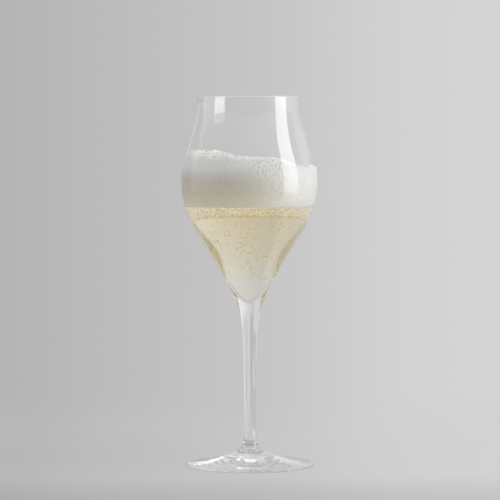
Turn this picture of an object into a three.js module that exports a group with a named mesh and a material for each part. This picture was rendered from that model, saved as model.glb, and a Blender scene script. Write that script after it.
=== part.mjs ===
// A glass of prosecco: a tulip bowl on a tall stem and a wide foot, all one piece of glass,
// with the wine up to its level and a head of foam on the wine.
// Millimetres, +Z up. The origin is the middle of the foot, on the surface it stands on.
import * as THREE from "three";

// Driving dimensions of the glass.
const glassHeight = 220;
const rimRadius = 31.05;
const rimWall = 0.9;
const bellyRadius = 40.75;
const bellyHeight = 170;
const bellyWall = 1.05;
const coneRadius = 15.3;
const coneHeight = 112.3;
const coneLean = 28.5;
const stemRadius = 3.6;
const stemLow = 27;
const stemHigh = 53.9;
const shoulderRadius = 9;
const shoulderHeight = 7.85;
const shoulderLean = -66;
const footRadius = 37.5;
const footEdge = 1.1;
const edgeLean = -86;
const restingRingInner = 30;
const restingRingOuter = 36.9;
const undersideRise = 1.2;

// Driving dimensions of the hollow: its pointed bottom, the throat, where the glass is still
// thick, and the place above it from which the wall is thin.
const tipHeight = 97.6;
const tipRadius = 3.3;
const tipLean = 29;
const throatRadius = 10.8;
const throatHeight = 113.5;
const throatLean = 37;
const thinWallRadius = 26.8;
const thinWallHeight = 134;
const thinWallLean = 32.2;

// Driving dimensions of the drink.
const wineLevel = 155.2;
const clearance = 0.3;
const foamMiddle = 182.4;
const frothRise = 4.2;
const frothSpan = [-14, -5];
const frothBank = [18, 34];
const foamDrop = 3.6;
const dropSpan = [14, 28];
const lumpHeight = 0.4;
const lumpLength = 15;

// The curves of the outline, from bottom to top: how far each one pulls along its direction at
// its low and at its high end, and its number of steps.
const curves = {
  underside: { low: 12, high: 10, steps: 4 },
  footTop: { low: 11, high: 7, steps: 6 },
  footFlare: { low: 6, high: 9, steps: 6 },
  stemFlare: { low: 35.1, high: 19.6, steps: 9 },
  bowl: { low: 25.3, high: 22.3, steps: 10 },
  bowlTop: { low: 16.1, high: 19.6, steps: 8 },
  tip: { low: 5, high: 5, steps: 4 },
  throat: { low: 8, high: 8, steps: 5 },
  hollow: { low: 9.5, high: 16.3, steps: 7 },
  hollowTop: { low: 15.9, high: 19.6, steps: 8 },
};
const arcSteps = 4;
const roundSegments = 48;
const foamSideRings = 9;
const foamTopRings = 8;

const crystal = { color: 0xe9edee, roughness: 0.02, metalness: 0 };
const paleWine = { color: 0xd9c98f, roughness: 0.05, metalness: 0 };
const whiteFoam = { color: 0xe8e3d4, roughness: 0.85, metalness: 0 };

// A station is a point of the outline, given by its radius and height, and by the angle in
// degrees at which the wall leans outward there on its way up.
function station(radius, height, lean = 0) {
  return { radius, height, lean };
}

// The point that lies a pull up or, where it is negative, down the wall from a station.
function handle(from, pull) {
  const lean = THREE.MathUtils.degToRad(from.lean);
  return new THREE.Vector2(
    from.radius + pull * Math.sin(lean),
    from.height + pull * Math.cos(lean),
  );
}

// The smooth stretch of wall between two stations, from the lower to the upper.
function stretch(low, high, curve) {
  return new THREE.CubicBezierCurve(
    handle(low, 0),
    handle(low, curve.low),
    handle(high, -curve.high),
    handle(high, 0),
  ).getPoints(curve.steps);
}

// A circular arc in the plane of the outline, with its angles in degrees.
function arc(radius, height, size, from, to) {
  const start = THREE.MathUtils.degToRad(from);
  const end = THREE.MathUtils.degToRad(to);
  return new THREE.EllipseCurve(radius, height, size, size, start, end).getPoints(arcSteps);
}

// Joins stretches end to end, with each shared point kept once.
function join(...stretches) {
  const close = 1e-6;
  return stretches.flat().filter((point, index, all) => {
    return index === 0 || point.distanceTo(all[index - 1]) > close;
  });
}

// Puts the first and the last point of a profile exactly on the axis.
function onAxis(profile) {
  const last = profile.length - 1;
  return profile.map((point, index) => {
    return index === 0 || index === last ? new THREE.Vector2(0, point.y) : point;
  });
}

// The glass's outer side, from the edge of the foot up to the rim.
function outerSide() {
  const rimRound = rimWall / 2;
  const edge = station(footRadius - footEdge / 2, footEdge, edgeLean);
  const shoulder = station(shoulderRadius, shoulderHeight, shoulderLean);
  const stemFoot = station(stemRadius, stemLow);
  const stemTop = station(stemRadius, stemHigh);
  const cone = station(coneRadius, coneHeight, coneLean);
  const belly = station(bellyRadius, bellyHeight);
  const rim = station(rimRadius, glassHeight - rimRound);
  return join(
    stretch(edge, shoulder, curves.footTop),
    stretch(shoulder, stemFoot, curves.footFlare),
    stretch(stemTop, cone, curves.stemFlare),
    stretch(cone, belly, curves.bowl),
    stretch(belly, rim, curves.bowlTop),
  );
}

// The glass's inner side, from the bottom of the hollow up to the rim.
function innerSide() {
  const rimRound = rimWall / 2;
  const tipMiddle = tipHeight + tipRadius;
  const tipTurn = THREE.MathUtils.degToRad(tipLean);
  const tipEnd = station(
    tipRadius * Math.cos(tipTurn),
    tipMiddle - tipRadius * Math.sin(tipTurn),
    tipLean,
  );
  const throat = station(throatRadius, throatHeight, throatLean);
  const thinWall = station(thinWallRadius, thinWallHeight, thinWallLean);
  const belly = station(bellyRadius - bellyWall, bellyHeight);
  const rim = station(rimRadius - rimWall, glassHeight - rimRound);
  return join(
    arc(0, tipMiddle, tipRadius, -90, -tipLean),
    stretch(tipEnd, throat, curves.tip),
    stretch(throat, thinWall, curves.throat),
    stretch(thinWall, belly, curves.hollow),
    stretch(belly, rim, curves.hollowTop),
  );
}

// The whole glass: underside, foot edge, outer side, rounded rim and inner side.
function glassProfile() {
  const rimRound = rimWall / 2;
  const edgeRound = footEdge / 2;
  const middle = station(0, undersideRise, 90);
  const ring = station(restingRingInner, 0, 90);
  return onAxis(
    join(
      stretch(middle, ring, curves.underside),
      [new THREE.Vector2(restingRingOuter, 0)],
      arc(footRadius - edgeRound, edgeRound, edgeRound, -70, 90),
      outerSide(),
      arc(rimRadius - rimRound, glassHeight - rimRound, rimRound, 0, 180),
      innerSide().reverse(),
    ),
  );
}

// The hollow's wall moved inward by a clearance, square to the wall.
function clearOf(wall, gap) {
  return wall.map((point, index) => {
    const before = wall[Math.max(index - 1, 0)];
    const after = wall[Math.min(index + 1, wall.length - 1)];
    const along = after.clone().sub(before).normalize();
    if (index === 0) {
      along.set(1, 0);
    }
    return new THREE.Vector2(point.x - along.y * gap, point.y + along.x * gap);
  });
}

// The radius of a wall at a height.
function radiusAt(wall, height) {
  const above = wall.findIndex((point) => point.y > height);
  const [low, high] = [wall[above - 1], wall[above]];
  const share = (height - low.y) / (high.y - low.y);
  return THREE.MathUtils.lerp(low.x, high.x, share);
}

// The wine: the hollow's own form up to a flat level.
function wineProfile(wall) {
  const sunk = wall.filter((point) => point.y < wineLevel - clearance);
  const level = new THREE.Vector2(radiusAt(wall, wineLevel), wineLevel);
  return onAxis([...sunk, level, new THREE.Vector2(0, wineLevel)]);
}

// The height of the foam's uneven top: coarse froth stands banked against the wall on the
// left, and the foam has sunk on the right.
function foamTop(x, y) {
  const left = 1 - THREE.MathUtils.smoothstep(x, ...frothSpan);
  const nearWall = THREE.MathUtils.smoothstep(Math.hypot(x, y), ...frothBank);
  const drop = THREE.MathUtils.smoothstep(x, ...dropSpan);
  const wave = (2 * Math.PI) / lumpLength;
  const lumps = Math.sin(wave * x) * Math.cos(wave * y) + Math.sin(wave * (y + x / 2));
  return foamMiddle + frothRise * left * nearWall - foamDrop * drop + lumpHeight * lumps;
}

// The foam: a plain turned form whose rings are then moved to the hollow's wall and to the
// uneven top.
function foamGeometry(wall) {
  const foot = wineLevel + clearance;
  const rings = [{ side: 0, reach: 0 }];
  for (let ring = 0; ring <= foamSideRings; ring += 1) {
    rings.push({ side: ring / foamSideRings, reach: 1 });
  }
  for (let ring = foamTopRings - 1; ring >= 0; ring -= 1) {
    rings.push({ side: 1, reach: ring / foamTopRings });
  }
  const profile = rings.map(({ side, reach }) => new THREE.Vector2(reach, side));
  const geometry = new THREE.LatheGeometry(onAxis(profile), roundSegments);
  const place = geometry.getAttribute("position");
  for (let index = 0; index < place.count; index += 1) {
    const { side, reach } = rings[index % rings.length];
    const turn = Math.floor(index / rings.length) / roundSegments;
    const angle = 2 * Math.PI * (turn % 1);
    const [across, along] = [Math.cos(angle), Math.sin(angle)];
    const edgeRadius = radiusAt(wall, foamMiddle);
    const edgeTop = foamTop(edgeRadius * across, edgeRadius * along);
    const height = foot + side * (edgeTop - foot);
    const radius = reach * radiusAt(wall, height);
    const top = foamTop(radius * across, radius * along);
    const isInnerTop = side === 1 && reach < 1;
    place.setXYZ(index, radius * across, radius * along, isInnerTop ? top : height);
  }
  return geometry;
}

function turned(profile) {
  return new THREE.LatheGeometry(profile, roundSegments).rotateX(Math.PI / 2);
}

function piece(name, geometry, finish) {
  const mesh = new THREE.Mesh(geometry, new THREE.MeshStandardMaterial(finish));
  mesh.name = name;
  return mesh;
}

const hollow = clearOf(innerSide(), clearance);

const group = new THREE.Group();
group.add(piece("glass", turned(glassProfile()), crystal));
group.add(piece("prosecco", turned(wineProfile(hollow)), paleWine));
group.add(piece("foam", foamGeometry(hollow), whiteFoam));

export default group;
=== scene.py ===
import math

import bpy
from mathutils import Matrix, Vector, noise


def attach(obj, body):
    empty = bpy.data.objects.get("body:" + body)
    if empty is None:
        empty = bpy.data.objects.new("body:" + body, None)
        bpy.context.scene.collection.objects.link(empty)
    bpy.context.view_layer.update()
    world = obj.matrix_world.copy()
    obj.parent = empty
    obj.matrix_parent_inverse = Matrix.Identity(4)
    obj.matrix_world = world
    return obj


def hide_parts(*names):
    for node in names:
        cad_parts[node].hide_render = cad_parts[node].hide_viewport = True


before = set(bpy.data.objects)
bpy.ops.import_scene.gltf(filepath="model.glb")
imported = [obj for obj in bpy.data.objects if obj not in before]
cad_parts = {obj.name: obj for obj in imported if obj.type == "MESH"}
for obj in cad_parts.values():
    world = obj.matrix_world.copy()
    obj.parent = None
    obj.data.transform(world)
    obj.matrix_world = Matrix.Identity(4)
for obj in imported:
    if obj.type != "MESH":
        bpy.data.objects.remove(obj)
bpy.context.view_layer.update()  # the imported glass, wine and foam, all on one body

scene = bpy.context.scene
body = "root"
mm = 0.001


# Camera, level with the rim and looking a little down, as in the photograph
cameraView = {
    "distance": 1.661,  # in front of the stem
    "height": 0.2200,
    "sideways": 0.0005,
    "pitchDown": 3.154,  # degrees
    "roll": 0.19,
    "lens": 201.2,  # mm on the sensor's width, also in mm
    "sensor": 36,
    "farthest": 50,
}


def makeCamera():
    data = bpy.data.cameras.new("camera")
    data.lens = cameraView["lens"]
    data.sensor_width = cameraView["sensor"]
    data.clip_end = cameraView["farthest"]
    camera = bpy.data.objects.new("camera", data)
    camera.location = (cameraView["sideways"], -cameraView["distance"], cameraView["height"])
    tilt = math.radians(90 - cameraView["pitchDown"])
    camera.rotation_euler = (tilt, math.radians(cameraView["roll"]), 0)
    scene.collection.objects.link(camera)
    scene.camera = camera
    print("camera made")


makeCamera()


# Helpers for node trees, colours and materials
def addNode(tree, kind, settings=None, links=None):
    node = tree.nodes.new(kind)
    for name, value in (settings or {}).items():
        if isinstance(name, int) or name in node.inputs:
            node.inputs[name].default_value = value
        else:
            setattr(node, name, value)
    for name, source in (links or {}).items():
        tree.links.new(source, node.inputs[name])
    return node


def addMaths(tree, operation, first, second):
    # each of the two is a number or another node's output
    settings, links = {"operation": operation}, {}
    for slot, value in enumerate((first, second)):
        if isinstance(value, (int, float)):
            settings[slot] = value
        else:
            links[slot] = value
    return addNode(tree, "ShaderNodeMath", settings, links).outputs[0]


def addProduct(tree, *factors):
    product = factors[0]
    for factor in factors[1:]:
        product = addMaths(tree, "MULTIPLY", product, factor)
    return product


def addRange(tree, source, low, high, start, end):
    settings = {1: low, 2: high, 3: start, 4: end}
    return addNode(tree, "ShaderNodeMapRange", settings, {0: source}).outputs[0]


def addStep(tree, source, low, high):
    # a smooth step from 0 at the low place to 1 at the high one
    settings = {"interpolation_type": "SMOOTHSTEP", 1: low, 2: high, 3: 0.0, 4: 1.0}
    return addNode(tree, "ShaderNodeMapRange", settings, {0: source}).outputs[0]


def addMix(tree, share, first, second):
    links = {0: share, 2: first, 3: second}
    return addNode(tree, "ShaderNodeMix", {"data_type": "FLOAT"}, links).outputs[0]


def linearColour(code):
    parts = [int(code[i : i + 2], 16) / 255 for i in (1, 3, 5)]
    return tuple(c / 12.92 if c <= 0.04045 else ((c + 0.055) / 1.055) ** 2.4 for c in parts) + (1,)


def addBlend(tree, share, first, second):
    # each of the two colours is a hex code or another node's output
    settings, links = {"data_type": "RGBA"}, {0: share}
    for slot, colour in ((6, first), (7, second)):
        if isinstance(colour, str):
            settings[slot] = linearColour(colour)
        else:
            links[slot] = colour
    return addNode(tree, "ShaderNodeMix", settings, links).outputs[2]


def newMaterial(name):
    material = bpy.data.materials.new(name)
    material.use_nodes = True
    material.node_tree.nodes.clear()
    return material, material.node_tree


def plainMaterial(name, kind, settings):
    material, tree = newMaterial(name)
    shader = addNode(tree, kind, settings)
    addNode(tree, "ShaderNodeOutputMaterial", links={"Surface": shader.outputs[0]})
    return material


# Helpers for meshes
def around(count):
    # the directions of a ring's points, counted from +X
    angles = (2 * math.pi * k / count for k in range(count))
    return [(math.cos(angle), math.sin(angle)) for angle in angles]


def bridged(rings):
    # the faces between neighbouring rings of vertices, where a single vertex is on the axis
    faces = []
    count = max(len(ring) for ring in rings)
    for low, high in zip(rings, rings[1:]):
        for k in range(count):
            n = (k + 1) % count
            if len(low) == 1:
                faces.append((low[0], high[n], high[k]))
            elif len(high) == 1:
                faces.append((low[k], low[n], high[0]))
            else:
                faces.append((low[k], low[n], high[n], high[k]))
    return faces


def meshObject(name, vertices, faces, material):
    data = bpy.data.meshes.new(name)
    data.from_pydata(vertices, [], faces)
    data.validate()
    data.polygons.foreach_set("use_smooth", [True] * len(data.polygons))
    data.materials.append(material)
    data.update()
    made = bpy.data.objects.new(name, data)
    scene.collection.objects.link(made)
    return made


def revolve(name, profile, material, segments):
    # the profile is a list of radius and height in metres that starts and ends on the axis,
    # and runs up the outside first
    onAxis = 1e-7
    directions = around(segments)
    vertices, rings = [], []
    for radius, height in profile:
        ring = directions if radius >= onAxis else [(0, 0)]
        rings.append(list(range(len(vertices), len(vertices) + len(ring))))
        vertices += [(radius * across, radius * along, height) for across, along in ring]
    return meshObject(name, vertices, bridged(rings), material)


# The outline is drawn through stations: radius, height and the lean from upright in degrees
def station(radius, height, lean=0.0):
    return {"radius": radius * mm, "height": height * mm, "lean": math.radians(lean)}


def stretch(low, high, pullLow, pullHigh, steps):
    # a smooth curve between two stations that leaves each along its lean
    ends = []
    for place, pull in ((low, 0), (low, pullLow), (high, -pullHigh), (high, 0)):
        radius = place["radius"] + pull * mm * math.sin(place["lean"])
        height = place["height"] + pull * mm * math.cos(place["lean"])
        ends.append((radius, height))
    points = []
    for step in range(steps + 1):
        t = step / steps
        shares = ((1 - t) ** 3, 3 * t * (1 - t) ** 2, 3 * t * t * (1 - t), t**3)
        points.append(tuple(sum(s * p[axis] for s, p in zip(shares, ends)) for axis in (0, 1)))
    return points


def arc(radius, height, size, start, end, steps):
    points = []
    for step in range(steps + 1):
        angle = math.radians(start + (end - start) * step / steps)
        across = radius + size * math.cos(angle)
        up = height + size * math.sin(angle)
        points.append((across * mm, up * mm))
    return points


def join(*stretches):
    # end to end, with each shared point kept once
    close = 1e-8
    points = []
    for point in (p for part in stretches for p in part):
        if not points or math.dist(point, points[-1]) > close:
            points.append(point)
    return points


# The glass: one piece, from the hollow underside of the foot to the rounded rim. Its sizes are
# in millimetres, and three in a row are the radius, height and lean of a station
glassSize = {
    "height": 220.0,
    "rimRadius": 31.05,
    "rimWall": 0.9,
    "belly": (40.75, 170.0),
    "bellyWall": 1.05,
    "cone": (15.3, 112.3, 28.5),
    "stemRadius": 3.6,
    "stemSpan": (27.0, 53.9),
    "shoulder": (9.0, 7.85, -66.0),
    "footRadius": 37.5,
    "footEdge": 1.1,
    "edgeLean": -86,
    "edgeStart": -70,  # degrees, where the foot's rounded edge starts from its flat ring
    "restingRing": (30.0, 36.9),
    "undersideRise": 1.2,
    "wornFrom": 11.0,  # the radius beyond which the underside is worn
    "wornFacing": -0.9,  # how far down a face looks that may be worn
    "tip": (97.6, 3.3, 29.0),  # height, radius and lean of the hollow's pointed bottom
    "throat": (10.8, 113.5, 37.0),
    "thinWall": (26.8, 134.0, 32.2),
    "segments": 248,
    "curves": {  # the pull at the low and at the high end, and the number of steps
        "underside": (12, 10, 48),
        "footTop": (11, 7, 60),
        "footFlare": (6, 9, 40),
        "stemFlare": (35.1, 19.6, 36),
        "bowl": (25.3, 22.3, 40),
        "bowlTop": (16.1, 19.6, 30),
        "tip": (5, 5, 20),
        "throat": (8, 8, 24),
        "hollow": (9.5, 16.3, 32),
        "hollowTop": (15.9, 19.6, 30),
    },
    "edgeSteps": 10,
    "rimSteps": 12,
    "tipSteps": 16,
}


def outerSide():
    s, curves = glassSize, glassSize["curves"]
    edge = station(s["footRadius"] - s["footEdge"] / 2, s["footEdge"], s["edgeLean"])
    shoulder = station(*s["shoulder"])
    stemFoot = station(s["stemRadius"], s["stemSpan"][0])
    stemTop = station(s["stemRadius"], s["stemSpan"][1])
    cone = station(*s["cone"])
    belly = station(*s["belly"])
    rim = station(s["rimRadius"], s["height"] - s["rimWall"] / 2)
    return join(
        stretch(edge, shoulder, *curves["footTop"]),
        stretch(shoulder, stemFoot, *curves["footFlare"]),
        stretch(stemTop, cone, *curves["stemFlare"]),
        stretch(cone, belly, *curves["bowl"]),
        stretch(belly, rim, *curves["bowlTop"]),
    )


def innerSide():
    s, curves = glassSize, glassSize["curves"]
    tipHeight, tipRadius, tipLean = s["tip"]
    turn = math.radians(tipLean)
    middle = tipHeight + tipRadius
    tipEnd = station(tipRadius * math.cos(turn), middle - tipRadius * math.sin(turn), tipLean)
    throat = station(*s["throat"])
    thinWall = station(*s["thinWall"])
    belly = station(s["belly"][0] - s["bellyWall"], s["belly"][1])
    rim = station(s["rimRadius"] - s["rimWall"], s["height"] - s["rimWall"] / 2)
    return join(
        arc(0, middle, tipRadius, -90, -tipLean, s["tipSteps"]),
        stretch(tipEnd, throat, *curves["tip"]),
        stretch(throat, thinWall, *curves["throat"]),
        stretch(thinWall, belly, *curves["hollow"]),
        stretch(belly, rim, *curves["hollowTop"]),
    )


def glassProfile():
    s = glassSize
    half, edge = s["rimWall"] / 2, s["footEdge"] / 2
    ringInner, ringOuter = s["restingRing"]
    middle, ring = station(0, s["undersideRise"], 90), station(ringInner, 0, 90)
    profile = join(
        stretch(middle, ring, *s["curves"]["underside"]),
        [(ringOuter * mm, 0)],
        arc(s["footRadius"] - edge, edge, edge, s["edgeStart"], 90, s["edgeSteps"]),
        outerSide(),
        arc(s["rimRadius"] - half, s["height"] - half, half, 0, 180, s["rimSteps"]),
        innerSide()[::-1],
    )
    return [(0, profile[0][1])] + profile[1:-1] + [(0, profile[-1][1])]


def crystalMaterial(name, roughness):
    settings = {
        "Base Color": linearColour("#FCFDFD"),
        "Roughness": roughness,
        "IOR": 1.5,
        "Transmission Weight": 1.0,
    }
    return plainMaterial(name, "ShaderNodeBsdfPrincipled", settings)


def makeCrystal():
    # lead-free crystal glass, drawn and fire polished: clear and glossy, with no tint
    return crystalMaterial("fire polished crystal glass", 0.0)


def makeWornCrystal():
    # the underside of the foot, dulled a little by the tables that it has stood on
    return crystalMaterial("lightly worn crystal underside", 0.12)


def makeGlass():
    s = glassSize
    piece = revolve("stemwareGlass", glassProfile(), makeCrystal(), s["segments"])
    piece.data.materials.append(makeWornCrystal())
    for face in piece.data.polygons:
        isUnder = face.center.z < s["undersideRise"] * mm and face.normal.z < s["wornFacing"]
        if isUnder and face.center.xy.length > s["wornFrom"] * mm:
            face.material_index = 1
    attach(piece, body)
    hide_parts("glass")
    print("glass made")


makeGlass()


# The drink's own walls follow the hollow and reach just into the glass
def grown(wall, reach):
    points = []
    for k, (radius, height) in enumerate(wall):
        before, after = wall[max(k - 1, 0)], wall[min(k + 1, len(wall) - 1)]
        along = Vector((after[0] - before[0], after[1] - before[1])).normalized()
        if k == 0:
            along = Vector((1, 0))
        points.append((radius + along.y * reach, height - along.x * reach))
    points[0] = (0, points[0][1])
    return points


def radiusAt(wall, height):
    for low, high in zip(wall, wall[1:]):
        if low[1] <= height <= high[1]:
            share = (height - low[1]) / (high[1] - low[1])
            return low[0] + share * (high[0] - low[0])
    return wall[-1][0]


wineSize = {
    "level": 155.2 * mm,
    "reach": 0.1 * mm,  # into the glass, so that no air gap shows
    "edge": 0.2 * mm,  # no point of the wall is kept nearer to the level than this
    "segments": 192,
}
hollowWall = innerSide()
drinkWall = grown(hollowWall, wineSize["reach"])


def makeWineMaterial():
    # prosecco: a clear pale straw liquid, whose colour comes from its depth
    material, tree = newMaterial("pale straw prosecco")
    shader = addNode(
        tree,
        "ShaderNodeBsdfPrincipled",
        {"Base Color": (1, 1, 1, 1), "Roughness": 0.0, "IOR": 1.34, "Transmission Weight": 1.0},
    )
    straw = {"Color": (0.955, 0.71, 0.10, 1), "Density": 8.4}
    depth = addNode(tree, "ShaderNodeVolumeAbsorption", straw)
    ends = {"Surface": shader.outputs[0], "Volume": depth.outputs[0]}
    addNode(tree, "ShaderNodeOutputMaterial", links=ends)
    return material


def makeWine():
    level = wineSize["level"]
    profile = [p for p in drinkWall if p[1] < level - wineSize["edge"]]
    profile += [(radiusAt(drinkWall, level), level), (0, level)]
    piece = revolve("proseccoPour", profile, makeWineMaterial(), wineSize["segments"])
    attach(piece, body)
    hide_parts("prosecco")
    print("wine made")


makeWine()


# The foam: fine and white, sunk on the right, with coarse froth banked on the left
foamSize = {
    "middle": 182.4 * mm,
    "frothRise": 0.8 * mm,  # the bank's loose bubbles, made below, stand on this
    "frothSpan": (-14 * mm, -5 * mm),
    "frothBank": (18 * mm, 34 * mm),
    "drop": 3.6 * mm,
    "dropSpan": (14 * mm, 28 * mm),
    "lumpHeight": 0.4 * mm,
    "lumpLength": 15 * mm,
    "grainHeight": 0.5 * mm,
    "grainLength": 1.6 * mm,
    "grainFade": 8,  # the grain fades out over the last eighth of the way to the wall
    "segments": 256,
    "sideRings": 40,
    "topRings": 60,
    "bottomRings": 16,
}


def smoothStep(value, low, high):
    share = min(max((value - low) / (high - low), 0), 1)
    return share * share * (3 - 2 * share)


def foamTop(x, y):
    s = foamSize
    left = 1 - smoothStep(x, *s["frothSpan"])
    nearWall = smoothStep(math.hypot(x, y), *s["frothBank"])
    drop = smoothStep(x, *s["dropSpan"])
    wave = 2 * math.pi / s["lumpLength"]
    lumps = math.sin(wave * x) * math.cos(wave * y) + math.sin(wave * (y + x / 2))
    banked = s["middle"] + s["frothRise"] * left * nearWall
    return banked - s["drop"] * drop + s["lumpHeight"] * lumps


# Where four numbers stand, they are two places in metres and the share at each of them
foamLook = {
    "white": "#FFFFFE",
    "shade": "#E0DFDA",  # painted shade: greyer half way up on the left, where the least light reaches the mousse
    "warm": "#FFF1DC",  # painted warm light: low down on the left, where the light comes through the wine
    # painted shade: the underside is greyer than the mousse above, to offset the lamp that lights
    # it from below
    "underside": "#CFC9B9",
    "seam": "#E6E3DA",  # the thin darker seams between bubbles
    # painted shade: the open top is greyer than the lit mousse round it
    "top": "#EAE9E3",
    "shadeRise": (0.158, 0.163, 0.0, 1.0),
    "shadeFall": (0.170, 0.1795, 1.0, 0.0),
    "shadeSide": (0.000, 0.022, 1.0, 0.0),
    "warmHeight": (0.156, 0.1760, 1.0, 0.0),
    "warmSide": (-0.002, 0.033, 1.0, 0.25),
    "grainLeft": (-0.012, 0.004, 0.12, 1.0),
    "grainRight": (0.028, 0.018, 0.3, 1.0),
    "grainUpper": (0.176, 0.183, 0.0, 0.5),
    "grainLower": (0.156, 0.164, 0.35, 1.0),
    "undersideSpan": (0.1554, 0.1552, 0.0, 1.0),
    "cells": 850.0,  # bubbles across a metre
    "cellStretch": (1.0, 1.0, 0.7),
    "undersideCells": 620.0,
    "seamSpan": (0.3, 0.8, 0.0, 1.0),  # out from a bubble's middle, in widths of a bubble
    "undersideSeams": (0.3, 0.8, 0.0, 0.25),  # the same
    "bump": {"Strength": 0.7, "Distance": 0.5 * mm},
}


def addCells(tree, vector, scale):
    settings = {"Scale": scale, "feature": "F1"}
    return addNode(tree, "ShaderNodeTexVoronoi", settings, {"Vector": vector}).outputs["Distance"]


def makeFoamMaterial():
    # wine mousse: packed fine bubbles, white, with seams between the bubbles where it is coarser
    s = foamLook
    material, tree = newMaterial("fine white mousse")
    coordinates = addNode(tree, "ShaderNodeTexCoord").outputs["Object"]
    place = addNode(tree, "ShaderNodeSeparateXYZ", links={"Vector": coordinates})
    across, up = place.outputs["X"], place.outputs["Z"]
    # painted shade: the mousse is greyer half way up on the left, where the least light reaches it
    paintedShade = addProduct(
        tree,
        addRange(tree, up, *s["shadeRise"]),
        addRange(tree, up, *s["shadeFall"]),
        addRange(tree, across, *s["shadeSide"]),
    )
    base = addBlend(tree, paintedShade, s["white"], s["shade"])
    # painted warm light: low down on the left the mousse takes the wine's tint, where the light
    # reaches it through the wine
    paintedWarmLight = addProduct(
        tree, addRange(tree, up, *s["warmHeight"]), addRange(tree, across, *s["warmSide"])
    )
    base = addBlend(tree, paintedWarmLight, base, s["warm"])
    upright = addNode(
        tree, "ShaderNodeMapping", {"Scale": s["cellStretch"]}, {"Vector": coordinates}
    ).outputs["Vector"]
    cells = addCells(tree, upright, s["cells"])
    seam = addRange(tree, cells, *s["seamSpan"])
    lower = addProduct(
        tree,
        addRange(tree, across, *s["grainLeft"]),
        addRange(tree, across, *s["grainRight"]),
        addRange(tree, up, *s["grainLower"]),
    )
    coarse = addMaths(tree, "MAXIMUM", lower, addRange(tree, up, *s["grainUpper"]))
    walls = addBlend(tree, addProduct(tree, seam, coarse), base, s["seam"])
    blisters = addCells(tree, coordinates, s["undersideCells"])
    seams = addRange(tree, blisters, *s["undersideSeams"])
    # painted shade: the underside is darker, to offset the lamp that lights it from below
    bottom = addBlend(tree, seams, s["underside"], s["seam"])
    beneath = addRange(tree, up, *s["undersideSpan"])
    colour = addBlend(tree, beneath, walls, bottom)
    bump = addNode(tree, "ShaderNodeBump", s["bump"], {"Height": cells})
    shader = addNode(
        tree,
        "ShaderNodeBsdfPrincipled",
        {
            "Roughness": 0.38,
            "Subsurface Weight": 0.9,
            "Subsurface Radius": (1.0, 0.95, 0.85),
            "Subsurface Scale": 0.007,
        },
        {"Base Color": colour, "Normal": bump.outputs["Normal"]},
    )
    addNode(tree, "ShaderNodeOutputMaterial", links={"Surface": shader.outputs[0]})
    return material


def makeTopMaterial():
    # the open top of the mousse, painted greyer as shade, so that the light falling on it doesn't
    # stand out
    settings = {"Base Color": linearColour(foamLook["top"]), "Roughness": 0.6}
    return plainMaterial("mousse top with painted shade", "ShaderNodeBsdfPrincipled", settings)


def makeFoam():
    # rings of vertices run out along the bottom, up the wall and back in over the top
    s = foamSize
    foot = wineSize["level"] - wineSize["reach"]
    turns = [(0, k / s["bottomRings"]) for k in range(s["bottomRings"])]
    turns += [(k / s["sideRings"], 1) for k in range(s["sideRings"] + 1)]
    turns += [(1, k / s["topRings"]) for k in range(s["topRings"] - 1, -1, -1)]
    vertices, rings = [], []
    edge = radiusAt(drinkWall, s["middle"])
    for side, reach in turns:
        directions = around(s["segments"]) if reach > 0 else [(1, 0)]
        rings.append(list(range(len(vertices), len(vertices) + len(directions))))
        for across, along in directions:
            rise = foot + side * (foamTop(edge * across, edge * along) - foot)
            radius = reach * radiusAt(drinkWall, rise)
            x, y = radius * across, radius * along
            if side == 1 and reach < 1:
                rise = foamTop(x, y)
                at = Vector((x, y, rise)) / s["grainLength"]
                fade = min((1 - reach) * s["grainFade"], 1)
                rise += s["grainHeight"] * noise.noise(at) * fade
            vertices.append((x, y, rise))
    piece = meshObject("mousseHead", vertices, bridged(rings), makeFoamMaterial())
    piece.data.materials.append(makeTopMaterial())
    topFaces = s["segments"] * (s["bottomRings"] + s["sideRings"])
    for face in piece.data.polygons[topFaces:]:
        face.material_index = 1
    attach(piece, body)
    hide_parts("foam")
    print("foam made")


makeFoam()


# Loose bubbles: rising in the wine, caught beneath the foam, and heaped as froth on its left.
# Each is a small ball that Geometry Nodes set at random on a carrier mesh, whose points tell
# how many balls there are (share), and how far they may move towards the axis (pull) and
# upwards (rise)
bubbleSize = {
    "rising": {"density": 48000.0, "smallest": 0.17 * mm, "largest": 0.5 * mm, "seed": 3},
    "beneath": {"density": 330000.0, "smallest": 0.12 * mm, "largest": 0.45 * mm, "seed": 11},
    "froth": {"density": 1500000.0, "smallest": 0.25 * mm, "largest": 0.75 * mm, "seed": 5},
    "smallPower": 2.0,  # above 1, so that small balls are commoner than large ones
    "wallGap": 0.55 * mm,
    "levelGap": 0.55 * mm,
    "innermost": 2.5 * mm,  # the rising bubbles keep to a wall between this radius
    "uppermost": 2 * mm,  # and this far below the bubbles caught beneath the foam
    "wallStep": 4,  # the carrier takes every fourth point of the wall
    "insideShare": 0.05,
    "clinging": {"pull": 0.02, "share": 0.7},  # some stay on the wall
    "beneathGap": 0.3 * mm,
    "beneathRings": (0.02, 0.25, 0.5, 0.75, 0.9, 1.0),
    "beneathShare": (0.6, 0.4, 4),  # in the middle, added at the edge, and the power it grows by
    "frothGap": 0.4 * mm,
    "frothRings": (0.5, 0.6, 0.7, 0.8, 0.9, 0.96, 1.0),
    "frothEdge": (20 * mm, 34 * mm),
    "sunk": 0.5 * mm,
    "bankRise": 4.8 * mm,
    "bankSpan": (-27 * mm, 3 * mm),  # the bank's bubbles thin out towards the middle
    "edgeRise": 0.7 * mm,
    "ballSegments": 7,
    "ballRings": 5,
    "carrierSegments": 72,
}


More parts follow.
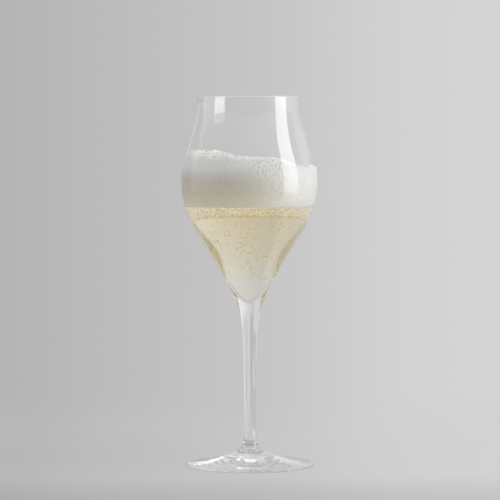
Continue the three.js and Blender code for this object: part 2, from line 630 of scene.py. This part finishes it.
def bubbleTree():
    s = bubbleSize
    tree = bpy.data.node_groups.new("bubbleScatter", "GeometryNodeTree")
    sockets = (
        ("Carrier", "INPUT", "NodeSocketGeometry"),
        ("Density", "INPUT", "NodeSocketFloat"),
        ("Smallest", "INPUT", "NodeSocketFloat"),
        ("Largest", "INPUT", "NodeSocketFloat"),
        ("Seed", "INPUT", "NodeSocketInt"),
        ("Material", "INPUT", "NodeSocketMaterial"),
        ("Bubbles", "OUTPUT", "NodeSocketGeometry"),
    )
    for name, side, kind in sockets:
        tree.interface.new_socket(name, in_out=side, socket_type=kind)
    given = addNode(tree, "NodeGroupInput").outputs

    def carried(name):
        return addNode(tree, "GeometryNodeInputNamedAttribute", {"Name": name}).outputs["Attribute"]

    def drawn(extra):
        # a random share, with its own seed for each use
        seed = addMaths(tree, "ADD", given["Seed"], extra)
        settings = {"data_type": "FLOAT"}
        return addNode(tree, "FunctionNodeRandomValue", settings, {"Seed": seed}).outputs[1]

    spread = addNode(
        tree,
        "GeometryNodeDistributePointsOnFaces",
        {"distribute_method": "RANDOM"},
        {
            "Mesh": given["Carrier"],
            "Density": addProduct(tree, given["Density"], carried("share")),
            "Seed": given["Seed"],
        },
    )
    position = addNode(tree, "GeometryNodeInputPosition").outputs[0]
    place = addNode(tree, "ShaderNodeSeparateXYZ", links={0: position})
    inward = addMaths(tree, "SUBTRACT", 1.0, addProduct(tree, drawn(1.0), carried("pull")))
    lifted = addProduct(tree, drawn(2.0), carried("rise"))
    moved = addNode(
        tree,
        "ShaderNodeCombineXYZ",
        links={
            0: addProduct(tree, place.outputs[0], inward),
            1: addProduct(tree, place.outputs[1], inward),
            2: addMaths(tree, "ADD", place.outputs[2], lifted),
        },
    )
    points = addNode(
        tree,
        "GeometryNodeSetPosition",
        links={"Geometry": spread.outputs["Points"], "Position": moved.outputs[0]},
    )
    ball = addNode(
        tree,
        "GeometryNodeMeshUVSphere",
        {"Segments": s["ballSegments"], "Rings": s["ballRings"], "Radius": 1.0},
    )
    sizeRange = addMaths(tree, "SUBTRACT", given["Largest"], given["Smallest"])
    sizeShare = addMaths(tree, "POWER", drawn(3.0), s["smallPower"])
    size = addMaths(tree, "ADD", given["Smallest"], addProduct(tree, sizeRange, sizeShare))
    scale = addNode(tree, "ShaderNodeCombineXYZ", links={0: size, 1: size, 2: size})
    placed = addNode(
        tree,
        "GeometryNodeInstanceOnPoints",
        links={
            "Points": points.outputs[0],
            "Instance": ball.outputs["Mesh"],
            "Scale": scale.outputs[0],
        },
    )
    real = addNode(tree, "GeometryNodeRealizeInstances", links={0: placed.outputs[0]})
    smoothed = addNode(tree, "GeometryNodeSetShadeSmooth", links={0: real.outputs[0]})
    finished = addNode(
        tree,
        "GeometryNodeSetMaterial",
        links={"Geometry": smoothed.outputs[0], "Material": given["Material"]},
    )
    addNode(tree, "NodeGroupOutput", links={"Bubbles": finished.outputs[0]})
    return tree


def carrierMesh(name, patches):
    # each patch is a list of rings with a radius, and with a number or a rule for each of
    # height, pull, rise and share
    directions = around(bubbleSize["carrierSegments"])
    vertices, faces, values = [], [], {"pull": [], "rise": [], "share": []}
    for patch in patches:
        rings = []
        for ring in patch:
            rings.append(list(range(len(vertices), len(vertices) + len(directions))))
            for across, along in directions:
                x, y = ring["radius"] * across, ring["radius"] * along
                place = {key: rule(x, y) if callable(rule) else rule for key, rule in ring.items()}
                vertices.append((x, y, place["height"]))
                for key, kept in values.items():
                    kept.append(place[key])
        faces += bridged(rings)
    data = bpy.data.meshes.new(name)
    data.from_pydata(vertices, [], faces)
    for key, kept in values.items():
        data.attributes.new(key, "FLOAT", "POINT").data.foreach_set("value", kept)
    return data


def makeBubbles(name, carrier, settings, tree, material):
    holder = bpy.data.objects.new(name + "Carrier", carrier)
    scene.collection.objects.link(holder)
    modifier = holder.modifiers.new("bubbles", "NODES")
    modifier.node_group = tree
    inputs = {
        "Density": settings["density"],
        "Smallest": settings["smallest"],
        "Largest": settings["largest"],
        "Seed": settings["seed"],
        "Material": material,
    }
    for socket in tree.interface.items_tree:
        if socket.in_out == "INPUT" and socket.name in inputs:
            modifier[socket.identifier] = inputs[socket.name]
    seen = holder.evaluated_get(bpy.context.evaluated_depsgraph_get())
    plain = bpy.data.meshes.new_from_object(seen)
    holder.modifiers.remove(modifier)
    bpy.data.objects.remove(holder)
    plain.name = name
    made = bpy.data.objects.new(name, plain)
    scene.collection.objects.link(made)
    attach(made, body)
    print(name, "made with", len(plain.polygons), "faces")


def makeGasMaterial():
    # carbon dioxide in the wine: clear, and of a lower refractive index than what is round it
    settings = {"Color": linearColour("#FFF9E8"), "Roughness": 0.0, "IOR": 0.746}
    return plainMaterial("gas bubble in wine", "ShaderNodeBsdfGlass", settings)


def makeFrothMaterial():
    # coarse froth: thin wet films, white and glossy
    settings = {"Base Color": linearColour("#FFFEFB"), "Roughness": 0.2, "IOR": 1.15}
    return plainMaterial("wet froth bubble", "ShaderNodeBsdfPrincipled", settings)


def makeRising(tree, gas, top):
    s = bubbleSize
    wall = grown(hollowWall, -s["wallGap"])[1 :: s["wallStep"]]
    wall = [p for p in wall if p[0] > s["innermost"] and p[1] < top - s["uppermost"]]
    widest = wall[-1][0]
    inside, clinging = [], []
    for radius, height in wall:
        ring = {"radius": radius, "height": height, "rise": 0}
        inside.append({**ring, "pull": 1.0, "share": s["insideShare"] + radius / widest})
        share = s["clinging"]["share"] * radius / widest
        clinging.append({**ring, "pull": s["clinging"]["pull"], "share": share})
    carrier = carrierMesh("risingCarrier", [inside, clinging])
    makeBubbles("risingBubbles", carrier, s["rising"], tree, gas)


def makeBeneath(tree, gas, top):
    s = bubbleSize
    edge = radiusAt(hollowWall, top) - s["wallGap"] - s["beneathGap"]
    least, added, power = s["beneathShare"]
    under = []
    for part in s["beneathRings"]:
        share = least + added * part**power
        under.append({"radius": edge * part, "height": top, "pull": 0, "rise": 0, "share": share})
    carrier = carrierMesh("beneathCarrier", [under])
    makeBubbles("beneathBubbles", carrier, s["beneath"], tree, gas)


def makeFroth(tree):
    s = bubbleSize

    def rise(x, y):
        left = 1 - smoothStep(x, *s["bankSpan"])
        near = smoothStep(math.hypot(x, y), *foamSize["frothBank"])
        return s["edgeRise"] + (s["bankRise"] - s["edgeRise"]) * left * near

    def sunkTop(x, y):
        return foamTop(x, y) - s["sunk"]

    def share(x, y):
        near = smoothStep(math.hypot(x, y), *s["frothEdge"])
        return near * rise(x, y) / s["bankRise"]

    edge = radiusAt(hollowWall, foamSize["middle"] + s["bankRise"]) - s["frothGap"]
    heap = [
        {"radius": edge * part, "height": sunkTop, "pull": 0, "rise": rise, "share": share}
        for part in s["frothRings"]
    ]
    carrier = carrierMesh("frothCarrier", [heap])
    makeBubbles("frothBubbles", carrier, s["froth"], tree, makeFrothMaterial())


def makeAllBubbles():
    tree = bubbleTree()
    gas = makeGasMaterial()
    top = wineSize["level"] - bubbleSize["levelGap"]
    makeRising(tree, gas, top)
    makeBeneath(tree, gas, top)
    makeFroth(tree)


makeAllBubbles()


# The studio: a pale backdrop that brightens to the right, a floor and soft lights. Its spans
# are parts of the direction in which one looks, from -1 to 1 along each axis, and where four
# numbers stand, the last two are the brightness or the factor at the first two
studio = {
    "backdrop": (  # brightness by how far to the right one looks
        (-1.0, 0.46),
        (-0.5, 0.47),
        (-0.25, 0.48),
        (-0.14, 0.465),
        (-0.087, 0.462),
        (-0.06, 0.490),
        (-0.03, 0.523),
        (0.0, 0.556),
        (0.087, 0.660),
        (0.14, 0.640),
        (0.25, 0.590),
        (0.45, 0.600),
        (0.7, 0.62),
        (0.86, 0.9),
        (1.0, 1.0),
    ),
    "sky": (  # the same above the camera's view, where the wine bends the light from
        (-1.0, 0.48),
        (-0.4, 0.53),
        (0.0, 0.66),
        (0.3, 0.77),
        (0.65, 0.9),
        (1.0, 1.0),
    ),
    "skyRise": (0.06, 0.26),
    "wingSide": (-0.20, -0.32, 0.0, 0.14),  # a paler wing to the left of the backdrop
    "wingRise": (0.0, 0.06),  # it starts just above the horizon
    "frontSide": (-0.8, 0.8, 0.34, 0.63),  # the room behind the camera, lighter on the right
    "frontBand": (0.10, 0.30, 1.5, 1.0),  # and lower down
    "frontEdge": (0.34, 0.22),
    "frontFloor": (-0.2, -0.08),
    "table": (  # the white table all round, seen only beyond the floor piece
        (-1.0, 0.72),
        (-0.5, 0.74),
        (0.0, 0.76),
        (0.4, 0.82),
        (0.75, 0.88),
        (1.0, 0.88),
    ),
    "tableEdge": (-0.10, -0.28),
    "leftmost": -1,
    "brightest": 2,
}


def addLevel(tree, stops, across):
    level = addNode(tree, "ShaderNodeFloatCurve", links={"Value": across})
    curve = level.mapping.curves[0]
    level.mapping.clip_min_x = studio["leftmost"]
    level.mapping.clip_max_y = studio["brightest"]
    curve.points[0].location = stops[0]
    curve.points[1].location = stops[-1]
    for place in stops[1:-1]:
        curve.points.new(*place)
    level.mapping.update()
    return level.outputs[0]


def makeWorld():
    s = studio
    world = bpy.data.worlds.new("studio")
    scene.world = world
    world.use_nodes = True
    tree = world.node_tree
    tree.nodes.clear()
    direction = addNode(tree, "ShaderNodeTexCoord").outputs["Generated"]
    parts = addNode(tree, "ShaderNodeSeparateXYZ", links={0: direction})
    across, away, up = (parts.outputs[axis] for axis in "XYZ")
    low = addLevel(tree, s["backdrop"], across)
    high = addLevel(tree, s["sky"], across)
    level = addMix(tree, addStep(tree, up, *s["skyRise"]), low, high)
    wing = addProduct(
        tree, addRange(tree, across, *s["wingSide"]), addStep(tree, up, *s["wingRise"])
    )
    level = addMaths(tree, "ADD", level, wing)
    room = addProduct(
        tree, addRange(tree, across, *s["frontSide"]), addRange(tree, up, *s["frontBand"])
    )
    inRoom = addProduct(
        tree, addStep(tree, away, *s["frontEdge"]), addStep(tree, up, *s["frontFloor"])
    )
    level = addMix(tree, inRoom, level, room)
    table = addLevel(tree, s["table"], across)
    level = addMix(tree, addStep(tree, up, *s["tableEdge"]), level, table)
    background = addNode(tree, "ShaderNodeBackground", {"Strength": 1.0}, {"Color": level})
    addNode(tree, "ShaderNodeOutputWorld", links={"Surface": background.outputs[0]})
    print("backdrop made")


makeWorld()


floorSize = {
    "radius": 0.45,
    "points": 96,
    "below": 0.05 * mm,  # this far under the foot, so that the two surfaces don't touch
    # where it fades out: to the back, the front, the right and the left
    "fades": {"Y": ((0.14, 0.42), (-0.17, -0.30)), "X": ((0.19, 0.30), (-0.19, -0.30))},
    "depth": 1.68,  # from the camera, which sets how the backdrop's brightness falls on the floor
    "glow": 0.50,  # share of the floor's brightness that is painted glow, which no shadow takes away
    "bounce": 0.47,
    "bounceSide": (-0.10, 0.12, 1.03, 0.86),  # less towards the right, where the lights are near
    "dim": (-0.13, -0.053, 0.858, 1.0),  # the floor darkens a little towards the camera
    "footReach": (0.0355, 0.0390, 1.0, 0.0),
    "footShadow": (-0.006, 0.016, 0.06, 0.38),  # share of the light that the foot holds back, painted on as a shadow
}


def makeFloor():
    s = floorSize
    material, tree = newMaterial("matt paper floor with painted glow")
    place = addNode(tree, "ShaderNodeTexCoord").outputs["Object"]
    parts = addNode(tree, "ShaderNodeSeparateXYZ", links={0: place}).outputs
    fade = 0.0
    for axis, spans in s["fades"].items():
        for span in spans:
            fade = addMaths(tree, "MAXIMUM", fade, addStep(tree, parts[axis], *span))
    sideways = addMaths(tree, "DIVIDE", parts["X"], s["depth"])
    level = addLevel(tree, studio["backdrop"], sideways)
    dim = addRange(tree, parts["Y"], *s["dim"])
    # a painted shadow: under the foot the glass holds back some of the light, most of all on the
    # right
    flat = addNode(
        tree, "ShaderNodeVectorMath", {"operation": "MULTIPLY", 1: (1.0, 1.0, 0.0)}, {0: place}
    )
    away = addNode(
        tree, "ShaderNodeVectorMath", {"operation": "LENGTH"}, {0: flat.outputs[0]}
    ).outputs["Value"]
    beneath = addRange(tree, away, *s["footReach"])
    paintedFootShadow = addProduct(tree, beneath, addRange(tree, parts["X"], *s["footShadow"]))
    shade = addProduct(tree, level, dim, addMaths(tree, "SUBTRACT", 1.0, paintedFootShadow))
    bounce = addProduct(tree, shade, addRange(tree, parts["X"], *s["bounceSide"]), s["bounce"])
    # painted glow: part of the floor's brightness is emitted, graded like the backdrop
    glow = addNode(tree, "ShaderNodeEmission", {"Strength": s["glow"]}, {"Color": shade})
    paper = addNode(tree, "ShaderNodeBsdfDiffuse", links={"Color": bounce})
    both = addNode(tree, "ShaderNodeAddShader", links={0: glow.outputs[0], 1: paper.outputs[0]})
    clear = addNode(tree, "ShaderNodeBsdfTransparent")
    ends = {0: fade, 1: both.outputs[0], 2: clear.outputs[0]}
    mixed = addNode(tree, "ShaderNodeMixShader", links=ends)
    addNode(tree, "ShaderNodeOutputMaterial", links={"Surface": mixed.outputs[0]})
    rim = [(s["radius"] * x, s["radius"] * y, -s["below"]) for x, y in around(s["points"])]
    floor = meshObject("floor", rim, [tuple(range(s["points"]))], material)
    print("floor made")


makeFloor()


# Each panel stands upright on a circle round the glass. Its bearing is counted from the camera's
# side towards the right, and its rise is between two elevations, as seen from the bowl's middle
panels = {
    "softboxRight": {"bearing": (59, 88), "rise": (-13, 42), "away": 1.0, "radiance": 3.7},
    "softboxFoot": {"bearing": (59, 88), "rise": (-24, -13), "away": 1.0, "radiance": 1.0},
    "panelLeft": {"bearing": (-114, -56), "rise": (-10, 18), "away": 1.0, "radiance": 0.15},
    "panelLeftHigh": {"bearing": (-110, -54), "rise": (-10, 27), "away": 1.1, "radiance": 0.2},
    "panelLeftWide": {"bearing": (-118, -52), "rise": (-10, 44), "away": 1.2, "radiance": 0.36},
    "panelFront": {"bearing": (-54, 58), "rise": (19, 50), "away": 1.9, "radiance": 0.30},
    "highRight": {"bearing": (25, 125), "rise": (46, 66), "away": 0.7, "radiance": 2.3},
    "highLeft": {"bearing": (-130, -35), "rise": (46, 64), "away": 0.7, "radiance": 1.1},
}
bowlMiddle = 0.17  # the height from which the panels' elevations are seen
overhead = {"height": 1.3, "sideways": -0.3, "width": 1.9, "radiance": 0.36}
foamGlow = {"width": 74.2 * mm, "below": 0.25 * mm, "radiance": 0.56}


def addLamp(name, width, height, radiance):
    data = bpy.data.lights.new(name, "AREA")
    data.shape = "RECTANGLE"
    data.size = width
    data.size_y = height
    data.energy = radiance * math.pi * width * height
    lamp = bpy.data.objects.new(name, data)
    lamp.visible_camera = False
    scene.collection.objects.link(lamp)
    return lamp


def makeLights():
    for name, panel in panels.items():
        start, end = (math.radians(angle) for angle in panel["bearing"])
        low, high = (math.tan(math.radians(angle)) for angle in panel["rise"])
        away = panel["away"]
        width = 2 * away * math.tan((end - start) / 2)
        lamp = addLamp(name, width, away * (high - low), panel["radiance"])
        middle = (start + end) / 2
        height = bowlMiddle + away * (low + high) / 2
        lamp.location = (away * math.sin(middle), -away * math.cos(middle), height)
        lamp.rotation_euler = (math.radians(90), 0, middle)
    lamp = addLamp("overhead", overhead["width"], overhead["width"], overhead["radiance"])
    lamp.location = (overhead["sideways"], 0, overhead["height"])
    # the light that the wine gathers and sends up to the foam's underside
    glow = addLamp("foamGlow", foamGlow["width"], foamGlow["width"], foamGlow["radiance"])
    glow.data.shape = "DISK"
    glow.location = (0, 0, wineSize["level"] - foamGlow["below"])
    glow.rotation_euler = (math.pi, 0, 0)
    print("lights made")


makeLights()

clearBounces = 128  # light takes many turns in the rim before it leaves
otherBounces = 16
scene.view_settings.view_transform = "Standard"
scene.cycles.max_bounces = clearBounces
scene.cycles.transmission_bounces = clearBounces
scene.cycles.glossy_bounces = clearBounces
scene.cycles.diffuse_bounces = otherBounces
scene.cycles.transparent_max_bounces = otherBounces
scene.cycles.use_denoising = True
